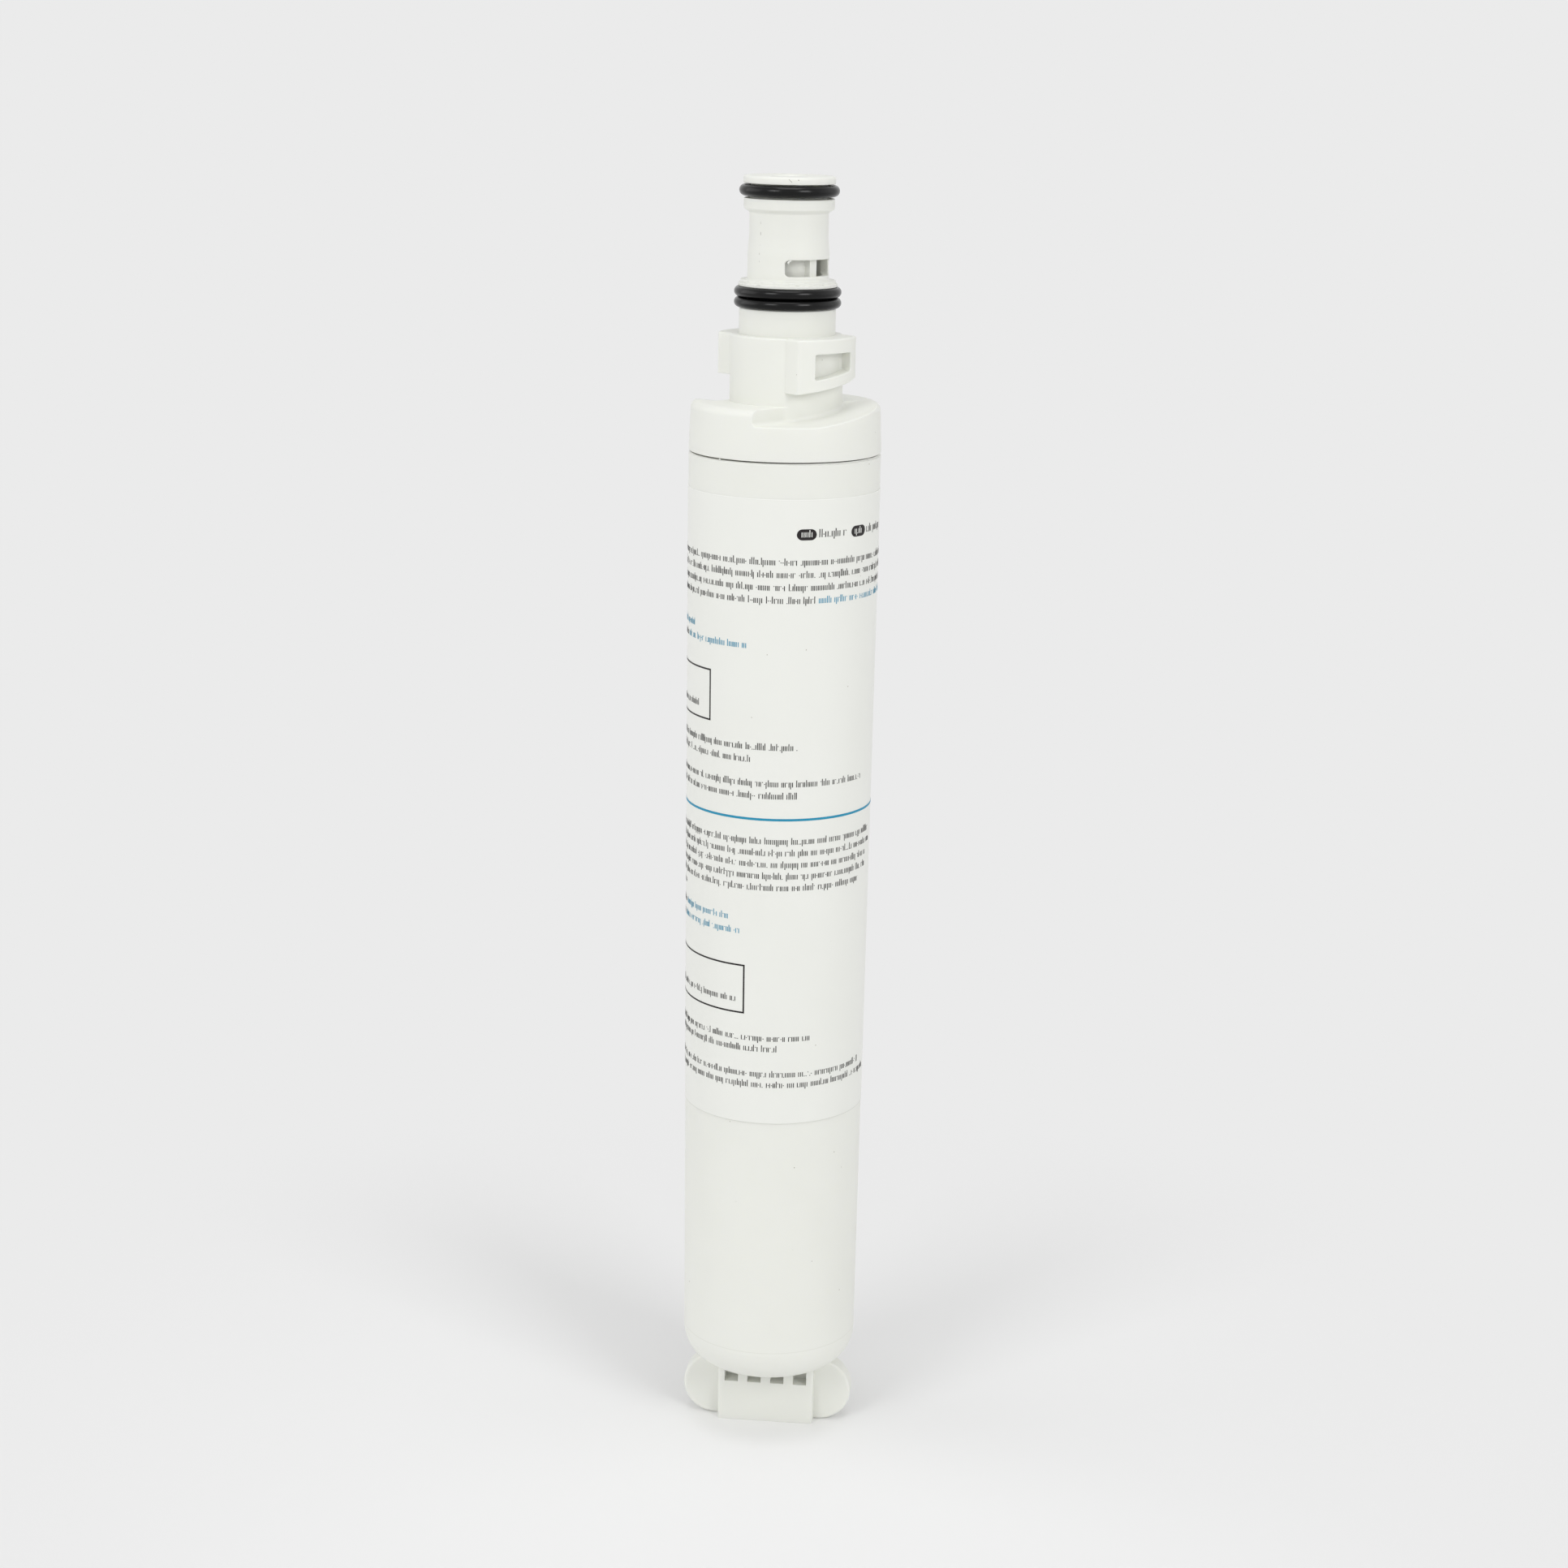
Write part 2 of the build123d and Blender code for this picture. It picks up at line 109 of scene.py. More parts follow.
bpy.ops.object.camera_add()
camera = bpy.context.object
camera.name = "photo_camera"
camera.data.lens = focal_length_pixels / photo_width_pixels * camera.data.sensor_width
camera.matrix_world = (
    Matrix.Translation(camera_place)
    @ Matrix.Rotation(math.pi / 2 - look_down, 4, "X")
    @ Matrix.Rotation(lean, 4, "Z")
)
bpy.context.scene.camera = camera
print("lens in mm:", round(camera.data.lens, 2))

# %% [markdown]
# ## Colours and nodes
# Colours are written as the hex values that a picture shows, which are sRGB, while shaders work in linear
# light, so one function turns the first into the second. Another adds a node, sets what it is given and
# links the sockets that it is given, and every material below is built with it.

# %% Colour and node helpers


def linear(hex_code):
    """Linear RGBA of an sRGB hex colour such as "#E9EAE2"."""
    channels = [int(hex_code[start:start + 2], 16) / 255 for start in (1, 3, 5)]
    return [c / 12.92 if c <= 0.04045 else ((c + 0.055) / 1.055) ** 2.4 for c in channels] + [1.0]


def add_node(material, kind, inputs=None, **settings):
    """Adds a node to a material or a world. An input is a value, or an output socket to link."""
    node = material.node_tree.nodes.new(kind)
    for name, value in settings.items():
        setattr(node, name, value)
    for socket, value in (inputs or {}).items():
        if isinstance(value, bpy.types.NodeSocket):
            material.node_tree.links.new(value, node.inputs[socket])
        else:
            node.inputs[socket].default_value = value
    return node


def new_material(name):
    """A new material, with its Principled shader and the socket of its Object coordinates."""
    material = bpy.data.materials.new(name)
    material.use_nodes = True
    place = add_node(material, "ShaderNodeTexCoord").outputs["Object"]
    return material, material.node_tree.nodes["Principled BSDF"], place


def link(material, output, target):
    material.node_tree.links.new(output, target)


def per_metre(size_mm):
    """Texture scale that repeats a pattern every so many millimetres."""
    return 1 / (size_mm * MM)


print("white plastic in linear light:", [round(c, 3) for c in linear("#E9EAE2")[:3]])

# %% [markdown]
# ## Studio floor
# A product is often shot on a sweep: a sheet that lies flat and curves up behind, so that no horizon
# shows. It is a plane whose back edge is extruded upward, with the fold then bevelled into a wide curve.
# It is matte and nearly white, and it catches the soft shadow at the foot of the cartridge. Its sizes are
# in metres.

# %% Studio floor
sweep_width = 6.0
sweep_front = -2.5
sweep_back = 2.2
sweep_height = 2.6
sweep_curve = 1.2
sweep_curve_steps = 24

deselect_all()
bpy.ops.mesh.primitive_plane_add(size=1, location=(0, (sweep_front + sweep_back) / 2, cad_low.z))
sweep = bpy.context.object
sweep.name = "studio_sweep"
sweep.scale = (sweep_width, sweep_back - sweep_front, 1)
bpy.ops.object.transform_apply(location=True, rotation=True, scale=True)
pick_vertices(sweep, lambda co: co.y > 0)
bpy.ops.mesh.extrude_region_move(TRANSFORM_OT_translate={"value": (0, 0, sweep_height)})
pick_vertices(sweep, lambda co: co.y > 0 and co.z < cad_low.z + MM)
bpy.ops.mesh.bevel(offset=sweep_curve, segments=sweep_curve_steps, affect="EDGES")
bpy.ops.object.mode_set(mode="OBJECT")
bpy.ops.object.shade_smooth()
print("floor level in mm:", round(cad_low.z / MM, 2), "with", len(sweep.data.polygons), "faces")

# %% [markdown]
# ## Paper of the sweep
# A photographer lights the sheet behind the product by itself, until it is an even pale grey. Lamps that
# did that here would also light the cartridge, so the paper glows instead, and only for the rays that
# come straight from the camera, off gloss or through clear things: it adds no light to the scene. The
# glow fades out towards the cartridge's foot, where the plain paper shows its shadow.

# %% Helpers for the backdrop
shadow_reach = 90.0 * MM
glow_reach = 280.0 * MM


def from_axis(material, place):
    """Distance of each point from the cartridge's axis."""
    flat = add_node(material, "ShaderNodeVectorMath", {0: place, 1: (1, 1, 0)}, operation="MULTIPLY")
    reach = add_node(material, "ShaderNodeVectorMath", {0: flat.outputs[0]}, operation="LENGTH")
    return reach.outputs["Value"]


def seen_rays(material):
    """Mask of the rays that show a backdrop: from the camera, off gloss and through clear things."""
    ray = add_node(material, "ShaderNodeLightPath").outputs
    seen = ray["Is Camera Ray"]
    for other in ("Is Glossy Ray", "Is Transmission Ray"):
        either = add_node(material, "ShaderNodeMath", {0: seen, 1: ray[other]}, operation="MAXIMUM")
        seen = either.outputs[0]
    return seen


print("the glow fades in over", round((glow_reach - shadow_reach) / MM), "mm")

# %% Paper of the sweep
backdrop_grey = "#EBEBEB"

sweep_paper, shader, place = new_material("matte_backdrop_paper")
shader.inputs["Base Color"].default_value = linear("#F4F4F4")
shader.inputs["Roughness"].default_value = 0.9
shader.inputs["Specular IOR Level"].default_value = 0.1
far_share = add_node(
    sweep_paper,
    "ShaderNodeMapRange",
    {"Value": from_axis(sweep_paper, place), "From Min": shadow_reach, "From Max": glow_reach},
    interpolation_type="SMOOTHSTEP",
)
glow_share = add_node(
    sweep_paper,
    "ShaderNodeMath",
    {0: seen_rays(sweep_paper), 1: far_share.outputs["Result"]},
    operation="MULTIPLY",
)
glow = add_node(sweep_paper, "ShaderNodeEmission", {"Color": linear(backdrop_grey), "Strength": 1.0})
paper_or_glow = add_node(
    sweep_paper,
    "ShaderNodeMixShader",
    {0: glow_share.outputs[0], 1: shader.outputs["BSDF"], 2: glow.outputs["Emission"]},
)
paper_surface = sweep_paper.node_tree.nodes["Material Output"].inputs["Surface"]
link(sweep_paper, paper_or_glow.outputs[0], paper_surface)
sweep.data.materials.append(sweep_paper)
print("made", sweep_paper.name)

# %% [markdown]
# ## Light
# The photograph's light is broad: the seals show a soft gleam on each side of the middle, tops are the
# brightest, the lugs shade the neck under them, and the right edge is a little darker than the left. That
# is two softboxes in front, one overhead, a large pale panel on each side, and a dim room that fills the
# rest. Together they light a surface that faces the camera at about 1, so colours render about as they
# are written. The room lights the cartridge dimly, but to the camera and in gloss it is as pale as the
# paper, so that no edge shows where the sheet ends.

# %% Softboxes
# Each has its place and side in metres, and its power in watts.
softboxes = {
    "softbox_left": ((-1.15, -1.5, 0.9), 0.8, 8.8),
    "softbox_right": ((1.15, -1.5, 0.9), 0.8, 12.0),
    "softbox_top": ((0.0, -0.3, 1.7), 1.0, 8.0),
    "panel_left": ((-1.9, 0.2, 0.4), 1.6, 7.5),
    "panel_right": ((1.9, 0.2, 0.4), 1.6, 2.5),
}
aim = Vector((0, 0, -0.1))
for name, (spot, side, watts) in softboxes.items():
    deselect_all()
    bpy.ops.object.light_add(type="AREA", location=spot)
    lamp = bpy.context.object
    lamp.name = name
    lamp.data.shape = "SQUARE"
    lamp.data.size = side
    lamp.data.energy = watts
    lamp.rotation_euler = (aim - Vector(spot)).to_track_quat("-Z", "Y").to_euler()
print("softboxes:", ", ".join(softboxes))

# %% Room
room_strength = 0.45

room = bpy.data.worlds.new("pale_room")
bpy.context.scene.world = room
room.use_nodes = True
dim_room = room.node_tree.nodes["Background"]
dim_room.inputs["Color"].default_value = linear("#FFFFFF")
dim_room.inputs["Strength"].default_value = room_strength
seen_room = add_node(room, "ShaderNodeBackground", {"Color": linear(backdrop_grey), "Strength": 1.0})
dim_or_seen = add_node(
    room,
    "ShaderNodeMixShader",
    {0: seen_rays(room), 1: dim_room.outputs[0], 2: seen_room.outputs[0]},
)
link(room, dim_or_seen.outputs[0], room.node_tree.nodes["World Output"].inputs["Surface"])
bpy.context.scene.view_settings.view_transform = "Standard"
print("the room lights at", room_strength, "and shows as", backdrop_grey)

# %% [markdown]
# ## White housing plastic
# The head and the sump are moulded polypropylene: slightly warm white, satin, with no grain to speak of.
# What gives it away as a moulding is faint: cloudy flow in the white, a breath of texture from the tool,
# and now and then a dark speck. The patterns read Object coordinates, which are metres from the
# cartridge's origin. A speck is a small ball round each point of a Voronoi pattern, and it shows only
# where the skin happens to cut one, so specks are rare.

# %% Helpers for colour and specks
housing_speck_spacing = 5.2
housing_speck_radius = 0.11
skin_area = 100 * 100


def lay_colour(material, under, colour, *masks):
    """Lays a colour over another one, as far as all of the masks let it."""
    share = masks[0]
    for mask in masks[1:]:
        both = add_node(material, "ShaderNodeMath", {0: share, 1: mask}, operation="MULTIPLY")
        share = both.outputs[0]
    mix = add_node(
        material,
        "ShaderNodeMix",
        {"Factor": share, "A": under, "B": linear(colour)},
        data_type="RGBA",
    )
    return mix.outputs["Result"]


def within(material, value, middle, half, fade):
    """Mask that is 1 where a value lies within half of the middle, and fades out beyond that."""
    off = add_node(material, "ShaderNodeMath", {0: value, 1: middle}, operation="SUBTRACT")
    distance = add_node(material, "ShaderNodeMath", {0: off.outputs[0]}, operation="ABSOLUTE")
    mask = add_node(
        material,
        "ShaderNodeMapRange",
        {
            "Value": distance.outputs[0],
            "From Min": half,
            "From Max": half + fade,
            "To Min": 1.0,
            "To Max": 0.0,
        },
    )
    return mask.outputs["Result"]


def specks(material, place, spacing_mm, radius_mm):
    """Mask of small round specks, scattered at about a spacing."""
    points = add_node(
        material,
        "ShaderNodeTexVoronoi",
        {"Vector": place, "Scale": per_metre(spacing_mm)},
    )
    radius = radius_mm / spacing_mm
    return within(material, points.outputs["Distance"], 0.0, radius, radius / 2)


cut_specks = 2 * housing_speck_radius * skin_area / housing_speck_spacing ** 3
print("specks on 100 by 100 mm of housing: about", round(cut_specks))

# %% White housing plastic
flow_size = 30.0
sheen_size = 9.0
grain_size = 0.8

polypropylene, shader, place = new_material("moulded_white_polypropylene")
flow = add_node(
    polypropylene,
    "ShaderNodeTexNoise",
    {"Vector": place, "Scale": per_metre(flow_size), "Detail": 2.0},
)
dark_specks = specks(polypropylene, place, housing_speck_spacing, housing_speck_radius)
white = lay_colour(polypropylene, linear("#E8E9E2"), "#EEEFE9", flow.outputs["Fac"])
white = lay_colour(polypropylene, white, "#938B7C", dark_specks)
shader.inputs["IOR"].default_value = 1.49
shader.inputs["Subsurface Weight"].default_value = 0.2
shader.inputs["Subsurface Radius"].default_value = (1.0, 1.0, 0.85)
shader.inputs["Subsurface Scale"].default_value = 2.0 * MM
sheen = add_node(
    polypropylene,
    "ShaderNodeTexNoise",
    {"Vector": place, "Scale": per_metre(sheen_size), "Detail": 3.0},
)
satin = add_node(
    polypropylene,
    "ShaderNodeMapRange",
    {"Value": sheen.outputs["Fac"], "To Min": 0.36, "To Max": 0.5},
)
link(polypropylene, satin.outputs["Result"], shader.inputs["Roughness"])
grain = add_node(
    polypropylene,
    "ShaderNodeTexNoise",
    {"Vector": place, "Scale": per_metre(grain_size), "Detail": 2.0},
)
tool_texture = add_node(
    polypropylene,
    "ShaderNodeBump",
    {"Height": grain.outputs["Fac"], "Strength": 0.12, "Distance": 0.02 * MM},
)
link(polypropylene, tool_texture.outputs["Normal"], shader.inputs["Normal"])
print("made", polypropylene.name)

# %% [markdown]
# ## Marks of moulding and handling
# Five faint marks lie on the white. The first is painted shade: the weld seam between head and sump is
# darkened where its narrow gap lies in shade. A mould line runs round the sump where its rounded base
# begins. On the barrel of the nozzle, the two halves of the tool left dark crumbs along their parting
# line, square to the way that they open. The rim over the lower seals is scuffed from being pushed home,
# and the top flange has a nick. A mark could be painted on an unwrapped mesh, but here each is a mask of
# slabs of space, set by a direction and a distance along it, and in the seam also by the distance from
# the axis, so nothing has to be unwrapped.

# %% Painted seam shade and mould line
ACROSS = Vector((1, 0, 0))
BACK = Vector((0, 1, 0))
AXIS = Vector((0, 0, 1))
seam_level = -13.28 * MM
seam_half = 0.2 * MM
seam_fade = 0.05 * MM
seam_mouth = 24.6 * MM
seam_mouth_fade = 0.2 * MM
mould_line_level = -261.1 * MM
fine_line_half = 0.03 * MM
fine_line_fade = 0.12 * MM


def slab(material, place, way, middle, half, fade):
    """Mask of a slab of space that lies square to a direction."""
    along = add_node(material, "ShaderNodeVectorMath", {0: place, 1: way}, operation="DOT_PRODUCT")
    return within(material, along.outputs["Value"], middle, half, fade)


# Painted shade: a dark grey-brown fills the seam's narrow gap, where shade falls between head and sump.
seam_shade_band = slab(polypropylene, place, AXIS, seam_level, seam_half, seam_fade)
deep = within(polypropylene, from_axis(polypropylene, place), 0.0, seam_mouth, seam_mouth_fade)
white = lay_colour(polypropylene, white, "#6A6456", seam_shade_band, deep)
mould_line = slab(polypropylene, place, AXIS, mould_line_level, fine_line_half, fine_line_fade)
white = lay_colour(polypropylene, white, "#E3E4DC", mould_line)
print("painted seam shade and mould line in mm:", round(seam_level / MM, 2), round(mould_line_level / MM, 2))

# %% Crumbs on the parting line
slide_azimuth = math.radians(-44.5)
slide_way = Vector((math.cos(slide_azimuth), math.sin(slide_azimuth), 0.0))
barrel_middle = 39.5 * MM
barrel_half = 6.5 * MM
barrel_fade = 1.0 * MM
crumb_spacing = 1.3

on_parting = slab(polypropylene, place, slide_way, 0.0, fine_line_half, fine_line_fade)
on_barrel = slab(polypropylene, place, AXIS, barrel_middle, barrel_half, barrel_fade)
crumbs = add_node(
    polypropylene,
    "ShaderNodeTexNoise",
    {"Vector": place, "Scale": per_metre(crumb_spacing), "Detail": 1.0},
)
crumb_share = add_node(
    polypropylene,
    "ShaderNodeMapRange",
    {"Value": crumbs.outputs["Fac"], "From Min": 0.6, "From Max": 0.66, "To Max": 0.6},
)
white = lay_colour(polypropylene, white, "#6F675A", on_parting, on_barrel, crumb_share.outputs["Result"])
print("crumbs lie in the plane square to", [round(part, 2) for part in slide_way])

# %% Scuffed rim
rim_rise = 0.8 * MM
rim_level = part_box("middle_o_ring")[1].z + rim_rise
rim_half = 0.9 * MM
rim_fade = 0.1 * MM
scrape_length = 1.6
scrape_flatness = (1, 1, 9)

on_rim = slab(polypropylene, place, AXIS, rim_level, rim_half, rim_fade)
flat_place = add_node(
    polypropylene,
    "ShaderNodeVectorMath",
    {0: place, 1: scrape_flatness},
    operation="MULTIPLY",
)
scrapes = add_node(
    polypropylene,
    "ShaderNodeTexNoise",
    {"Vector": flat_place.outputs[0], "Scale": per_metre(scrape_length), "Detail": 4.0},
)
scrape_share = add_node(
    polypropylene,
    "ShaderNodeMapRange",
    {"Value": scrapes.outputs["Fac"], "From Min": 0.58, "From Max": 0.72, "To Max": 0.4},
)
white = lay_colour(polypropylene, white, "#7E796E", on_rim, scrape_share.outputs["Result"])
print("rim scuffed at", round(rim_level / MM, 2), "mm")

# %% Nick in the top flange
nick_centre = Vector((0.2, -12.04, 57.4)) * MM
nick_slope = math.radians(46.7)
nick_across = Vector((math.cos(nick_slope), 0.0, math.sin(nick_slope)))
nick_along = Vector((math.sin(nick_slope), 0.0, -math.cos(nick_slope)))
nick_width_half = 0.03 * MM
nick_width_fade = 0.07 * MM
nick_length_half = 0.45 * MM
nick_length_fade = 0.2 * MM
nick_depth_half = 1.0 * MM
nick_depth_fade = 0.1 * MM

nick_masks = [
    slab(polypropylene, place, way, nick_centre.dot(way), half, fade)
    for way, half, fade in (
        (nick_across, nick_width_half, nick_width_fade),
        (nick_along, nick_length_half, nick_length_fade),
        (BACK, nick_depth_half, nick_depth_fade),
    )
]
white = lay_colour(polypropylene, white, "#A8A59B", *nick_masks)
link(polypropylene, white, shader.inputs["Base Color"])
print("nick in mm:", round(2 * nick_length_half / MM, 2), "long")

# %% [markdown]
# ## Seal rubber
# O-rings are moulded from EPDM, a black rubber with a soft gleam. It is darker than most blacks in a
# picture, so what shows is mainly the gloss: two softboxes and the pale room. A weak mirror share keeps
# it deep, and fine dust and a low bump break the gleam up.

# %% Seal rubber
dust_size = 0.5
rubber_speck_spacing = 2.5
rubber_speck_radius = 0.05

rubber, shader, place = new_material("moulded_epdm_rubber")
dust = add_node(
    rubber,
    "ShaderNodeTexNoise",
    {"Vector": place, "Scale": per_metre(dust_size), "Detail": 3.0},
)
dust_share = add_node(
    rubber,
    "ShaderNodeMapRange",
    {"Value": dust.outputs["Fac"], "From Min": 0.6, "From Max": 0.8, "To Max": 0.5},
)
pale_specks = specks(rubber, place, rubber_speck_spacing, rubber_speck_radius)
black = lay_colour(rubber, linear("#050505"), "#171716", dust_share.outputs["Result"])
black = lay_colour(rubber, black, "#7C7C77", pale_specks)
link(rubber, black, shader.inputs["Base Color"])
gleam = add_node(
    rubber,
    "ShaderNodeMapRange",
    {"Value": dust.outputs["Fac"], "To Min": 0.15, "To Max": 0.25},
)
link(rubber, gleam.outputs["Result"], shader.inputs["Roughness"])
shader.inputs["Specular IOR Level"].default_value = 0.26
skin = add_node(
    rubber,
    "ShaderNodeBump",
    {"Height": dust.outputs["Fac"], "Strength": 0.08, "Distance": 0.02 * MM},
)
link(rubber, skin.outputs["Normal"], shader.inputs["Normal"])
print("made", rubber.name)

# %% [markdown]
# ## Label film
# The label is a thin white film with a clear, slightly glossy face, wrapped tight round the sump. It is a
# touch whiter and smoother than the plastic, with a very long, low waviness from the glue under it, and
# it picks up the odd speck as well. Its top edge has a painted highlight, where it catches the light. The
# bottom edge, and the overlap of its ends at the back, have a thin painted shadow line.

# %% Colour of the label film
glue_size = 22.0
film_speck_spacing = 7.0
film_speck_radius = 0.1
cut_half = 0.08 * MM
cut_fade = 0.14 * MM
overlap_depth = 5.0 * MM
overlap_fade = 1.0 * MM
label_low, label_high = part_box("label")

film, shader, place = new_material("coated_label_film")
glue = add_node(
    film,
    "ShaderNodeTexNoise",
    {"Vector": place, "Scale": per_metre(glue_size), "Detail": 1.0},
)
top_edge_highlight = slab(film, place, AXIS, label_high.z, cut_half, cut_fade)
bottom_edge_shade = slab(film, place, AXIS, label_low.z, cut_half, cut_fade)
overlap_edge_shade = slab(film, place, ACROSS, 0.0, cut_half, cut_fade)
at_back = slab(film, place, BACK, label_high.y, overlap_depth, overlap_fade)
film_specks = specks(film, place, film_speck_spacing, film_speck_radius)
film_white = lay_colour(film, linear("#EBECE6"), "#EEEFEA", glue.outputs["Fac"])
film_white = lay_colour(film, film_white, "#998F80", film_specks)
# Painted highlight: the top edge is made lighter, where it catches light from above.
film_white = lay_colour(film, film_white, "#F6F7F3", top_edge_highlight)
# Painted shade: thin grey lines along the bottom edge and along the overlap at the back, where the film's
# edge throws shade.
film_white = lay_colour(film, film_white, "#D6D7CF", bottom_edge_shade)
film_white = lay_colour(film, film_white, "#D6D7CF", overlap_edge_shade, at_back)
link(film, film_white, shader.inputs["Base Color"])
print("label's edges in mm:", round(label_high.z / MM, 2), "and", round(label_low.z / MM, 2))

# %% Gloss of the label film
gloss = add_node(
    film,
    "ShaderNodeMapRange",
    {"Value": glue.outputs["Fac"], "To Min": 0.3, "To Max": 0.38},
)
link(film, gloss.outputs["Result"], shader.inputs["Roughness"])
waves = add_node(
    film,
    "ShaderNodeBump",
    {"Height": glue.outputs["Fac"], "Strength": 0.25, "Distance": 0.15 * MM},
)
link(film, waves.outputs["Normal"], shader.inputs["Normal"])
print("made", film.name)

# %% [markdown]
# ## Materials of the filter element
# Nothing of the element shows while the housing is closed, but each solid still gets the finish of its
# kind, so that it looks right when the cartridge is cut open or taken apart: grainy pressed carbon, fuzzy
# white felt and plain white end caps.

# %% Pressed carbon
grit_size = 0.6

carbon, shader, place = new_material("pressed_carbon_block")
grit = add_node(carbon, "ShaderNodeTexVoronoi", {"Vector": place, "Scale": per_metre(grit_size)})
carbon_black = lay_colour(carbon, linear("#1A1A1B"), "#333335", grit.outputs["Distance"])
link(carbon, carbon_black, shader.inputs["Base Color"])
shader.inputs["Roughness"].default_value = 0.85
pores = add_node(
    carbon,
    "ShaderNodeBump",
    {"Height": grit.outputs["Distance"], "Strength": 0.6, "Distance": 0.2 * MM},
)
link(carbon, pores.outputs["Normal"], shader.inputs["Normal"])
print("made", carbon.name)

# %% Felt
fibre_size = 0.7

felt, shader, place = new_material("white_nonwoven_felt")
fibres = add_node(
    felt,
    "ShaderNodeTexNoise",
    {"Vector": place, "Scale": per_metre(fibre_size), "Detail": 6.0, "Distortion": 3.0},
)
felt_white = lay_colour(felt, linear("#D5D5D0"), "#F0F0EC", fibres.outputs["Fac"])
link(felt, felt_white, shader.inputs["Base Color"])
shader.inputs["Roughness"].default_value = 0.95
nap = add_node(
    felt,
    "ShaderNodeBump",
    {"Height": fibres.outputs["Fac"], "Strength": 0.7, "Distance": 0.3 * MM},
)
link(felt, nap.outputs["Normal"], shader.inputs["Normal"])
print("made", felt.name)

# %% End caps
cap_flow_size = 15.0

cap_plastic, shader, place = new_material("moulded_cap_polypropylene")
cap_flow = add_node(
    cap_plastic,
    "ShaderNodeTexNoise",
    {"Vector": place, "Scale": per_metre(cap_flow_size), "Detail": 2.0},
)
cap_white = lay_colour(cap_plastic, linear("#E4E5E0"), "#EDEEEA", cap_flow.outputs["Fac"])
link(cap_plastic, cap_white, shader.inputs["Base Color"])
shader.inputs["Roughness"].default_value = 0.45
print("made", cap_plastic.name)

# %% [markdown]
# ## Dressing the solids
# A node of the frame keeps its mesh. Its one material slot is given the finish of the real piece.

# %% Dress the solids
finishes = {
    "head": polypropylene,
    "sump": polypropylene,
    "label": film,
    "upper_o_ring": rubber,
    "middle_o_ring": rubber,
    "lower_o_ring": rubber,
    "spigot_o_ring": rubber,
    "carbon_block": carbon,
    "prefilter_sleeve": felt,
    "top_end_cap": cap_plastic,
    "bottom_end_cap": cap_plastic,
}
for name, finish in finishes.items():
    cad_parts[name].material_slots[0].material = finish
print("dressed", ", ".join(finishes))

# %% [markdown]
# ## Inks
# The print is flexographic: a thin, slightly uneven layer of black and of blue, with a few white marks
# left clear in dark badges. The ink film is not quite even, so a fine noise varies its depth.

# %% Inks
ink_cloud_size = 0.35


def new_ink(name, thin, full):
    """A printing ink whose depth varies between two colours."""
    ink, shader, place = new_material(name)
    depth = add_node(
        ink,
        "ShaderNodeTexNoise",
        {"Vector": place, "Scale": per_metre(ink_cloud_size), "Detail": 2.0},
    )
    colour = lay_colour(ink, linear(full), thin, depth.outputs["Fac"])
    link(ink, colour, shader.inputs["Base Color"])
    shader.inputs["Roughness"].default_value = 0.45
    shader.inputs["Specular IOR Level"].default_value = 0.3
    return ink


black_ink = new_ink("black_flexo_ink", "#2A2526", "#161213")
blue_ink = new_ink("blue_flexo_ink", "#2F9ABB", "#1286AA")
white_ink = new_ink("white_flexo_ink", "#E3E4DF", "#EDEEEA")
print("made", black_ink.name, blue_ink.name, white_ink.name)

# %% [markdown]
# ## Print on the label
# The label carries rows of fine print in two blocks, a thin blue rule between them, two framed boxes and
# two dark badges. This cartridge is nobody's in particular, so its print says nothing and has no letters:
# each row is filled with upright ticks, some tall and some hanging, and with dots and short dashes, in
# groups of uneven length. Text objects can't do that, and thousands of marks can't be drawn by hand, so
# they are laid out flat as small rectangles: millimetres along the label from the line that faces the
# camera, and millimetres down from its top edge. A seeded random generator picks them, so that the print
# comes out the same every time.

# %% Kinds of marks
draw = random.Random(7)
tick_height = 1.28
tick_width = 0.22
tick_kinds = ("post",) * 9 + ("tall", "tall", "drop", "low dot", "high dot", "dash")
# Shares of a tick's height.
tall_height = 1.45
drop_depth = 0.4
dash_level = 0.45
# Shares of a tick's width.
dash_length = 1.3
dash_thickness = 0.9


def rectangle(left, bottom, width, height):
    right = left + width
    top = bottom + height
    return [(left, bottom), (right, bottom), (right, top), (left, top)]


def tick(left, bottom, size):
    """One mark of a row, as a rectangle, with its size as a share of the common one."""
    width = size * tick_width
    height = size * tick_height
    shapes = {
        "post": (bottom, width, height),
        "tall": (bottom, width, tall_height * height),
        "drop": (bottom - drop_depth * height, width, (1 + drop_depth) * height),
        "low dot": (bottom, width, width),
        "high dot": (bottom + height - width, width, width),
        "dash": (bottom + dash_level * height, dash_length * width, dash_thickness * width),
    }
    return rectangle(left, *shapes[draw.choice(tick_kinds)])


print(len(set(tick_kinds)), "kinds of marks")

# %% Rows of marks
tick_step = 0.47
step_least = 0.85
step_spread = 0.35
group_least = 4
group_most = 16
group_gap = 0.7


def row(start, end, level, size=1.0):
    """Rectangles of a row of marks in groups, with its middle at a level."""
    marks = []
    along = start
    while along < end - size * tick_step:
        for _ in range(draw.randint(group_least, group_most)):
            if along > end - size * tick_width:
                break
            marks.append(tick(along, level - size * tick_height / 2, size))
            along += size * tick_step * (step_least + step_spread * draw.random())
        along += size * group_gap
    return marks


print("a row of 20 mm has", len(row(0, 20, 0)), "rectangles")

# %% [markdown]
# ## Layout of the print
# The rows keep the length and place that print has on such a label: a column that starts far round the
# left side, so that the front shows its right end, with a ragged edge. Frames, badges and the rule are
# cut into short pieces, so that they can follow the curve of the label later.

